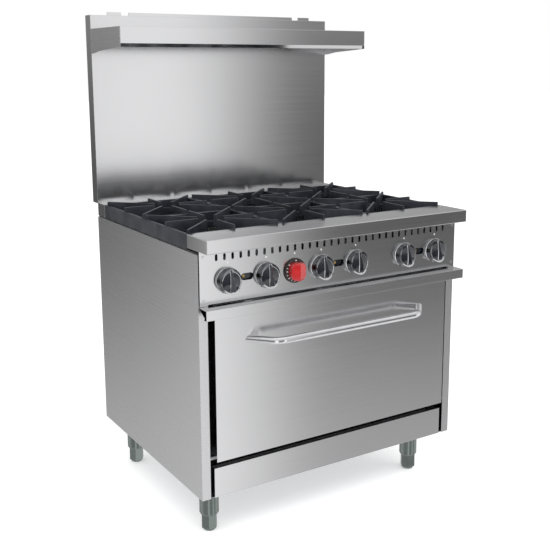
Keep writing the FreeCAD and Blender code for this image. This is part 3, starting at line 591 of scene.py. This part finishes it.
def thermostat(materials):
    """Dark round dial with printed marks, and a red grip with two faces that meet at a ridge."""
    centre_x, _, centre_z = middle("thermostat_knob")
    face = panel_face() - PANEL_GAP
    centre = (centre_x, face, centre_z)
    dial = turned("thermostat_dial", centre, DIAL, materials["dial"], segments=96)
    stem = turned("thermostat_stem", centre, STEM, materials["brass"], segments=32)
    grip = grip_mesh("thermostat_grip", centre, materials["red"])
    marks = []
    for step in range(MARKS):
        angle = math.radians(FIRST_MARK + MARK_STEP * step)
        across, up = math.cos(angle), math.sin(angle)
        if step % 2:
            spot = Vector((centre_x + TICK_RING * across, face - DIAL_TOP, centre_z + TICK_RING * up))
            marks.append(dash(f"dial_tick_{step}", spot, angle, 4 * MM, 1.5 * MM, materials["white"]))
        else:
            words = str(FIRST_NUMBER + NUMBER_STEP * step)
            number = text_piece(f"dial_number_{step}", words, 5 * MM, materials["white"])
            number.location = (centre_x + NUMBER_RING * across, face - DIAL_TOP,
                               centre_z + NUMBER_RING * up)
            number.rotation_euler = (math.radians(90), 0, 0)
            marks.append(number)
    marks.append(turned("dial_top_dot", (centre_x, face, centre_z + TICK_RING), TOP_DOT,
                        materials["white"], segments=24))
    for obj in [dial, grip, stem, *marks]:
        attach(obj, "thermostat")
        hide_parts("thermostat_knob")


def dash(name, spot, angle, long, wide, material):
    """A printed stroke on the dial, pointing at its centre."""
    along = Vector((math.cos(angle), 0, math.sin(angle))) * long / 2
    across = Vector((-math.sin(angle), 0, math.cos(angle))) * wide / 2
    bm = bmesh.new()
    for depth in (0.1 * MM, -PRINT_THICK):
        for side, end in ((-1, -1), (1, -1), (1, 1), (-1, 1)):
            bm.verts.new(spot + along * end + across * side + Vector((0, depth, 0)))
    verts = list(bm.verts)
    bm.faces.new(verts[0:4])
    bm.faces.new(verts[4:8])
    for index in range(4):
        after = (index + 1) % 4
        bm.faces.new((verts[index], verts[after], verts[4 + after], verts[4 + index]))
    bmesh.ops.recalc_face_normals(bm, faces=bm.faces)
    obj = mesh_object(name, bm)
    obj.data.materials.append(material)
    return obj


def text_piece(name, words, height, material):
    curve = bpy.data.curves.new(name, "FONT")
    curve.body = words
    curve.size = height
    curve.extrude = PRINT_THICK
    curve.offset = 0.15 * MM
    curve.align_x, curve.align_y = "CENTER", "CENTER"
    curve.materials.append(material)
    return link(bpy.data.objects.new(name, curve))


def grip_mesh(name, centre, material):
    """The thermostat's grip: two flat faces that meet at an upright ridge."""
    bm = bmesh.new()
    grid = []
    for row in range(GRIP_ROWS + 1):
        along = math.sin(math.pi * (row / GRIP_ROWS - 0.5)) * 0.997
        half = GRIP_HALF_WIDTH * (1 - abs(along) ** 3.4) ** (1 / 3.0)
        points = [(-half, GRIP_BASE), (-half, GRIP_SIDE), (-half + min(1.6, 0.3 * half), GRIP_FACE)]
        points.append((0, GRIP_FACE + GRIP_RIDGE * (half / GRIP_HALF_WIDTH) ** 0.2))
        points += [(-x, depth) for x, depth in reversed(points[:3])]
        z = centre[2] + GRIP_HALF_HEIGHT * along * MM
        grid.append([bm.verts.new((centre[0] + x * MM, centre[1] - depth * MM, z)) for x, depth in points])
    for lower, upper in zip(grid, grid[1:]):
        for index in range(len(lower) - 1):
            bm.faces.new((lower[index], lower[index + 1], upper[index + 1], upper[index]))
        bm.faces.new((lower[-1], lower[0], upper[0], upper[-1]))
    for ends in (grid[0], grid[-1]):
        bm.faces.new(ends)
    bmesh.ops.recalc_face_normals(bm, faces=bm.faces)
    obj = mesh_object(name, bm)
    obj.data.materials.append(material)
    smooth(obj, 14)
    return obj


def pilot_windows(materials):
    """Behind each small window in the panel: a black screen as painted shade for the dark inside of the
    range, and the brass tip of a pilot valve.
    """
    face = panel_face()
    for index, x in enumerate(WINDOW_X):
        bm = bmesh.new()
        bmesh.ops.create_cube(bm, size=1.0)
        bmesh.ops.scale(bm, vec=SHADE_SCREEN_SIZE, verts=bm.verts)
        bmesh.ops.bevel(bm, geom=list(bm.edges), offset=0.4 * MM, segments=2, affect="EDGES")
        bmesh.ops.translate(bm, vec=(x, face + SHADE_SCREEN_DEPTH, WINDOW_Z), verts=bm.verts)
        shade_screen = mesh_object(f"pilot_shade_screen_{index}", bm)
        shade_screen.data.materials.append(materials["black"])
        tip = turned(f"pilot_tip_{index}", (x - 9 * MM, face + 8 * MM, WINDOW_Z + 1 * MM), PILOT_TIP,
                     materials["brass"], segments=32)
        for obj, slot in ((shade_screen, "enamel"), (tip, "brass_valve")):
            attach(obj, "range_body")


def indicator_dots(materials):
    """A printed white dot on the panel above each knob, the thermostat's too."""
    names = [f"burner_knob_{number}" for number in KNOB_NUMBERS] + ["thermostat_knob"]
    for name in names:
        x, _, z = middle(name)
        dot = turned(f"panel_dot_{name}", (x, panel_face(), z + INDICATOR_RISE), PANEL_DOT,
                     materials["white"], segments=28)
        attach(dot, "range_body")


make_camera()
make_stage()
materials = make_materials()
dress_cad_nodes(materials)
for number in KNOB_NUMBERS:
    burner_knob(number, materials)
thermostat(materials)
indicator_dots(materials)
pilot_windows(materials)
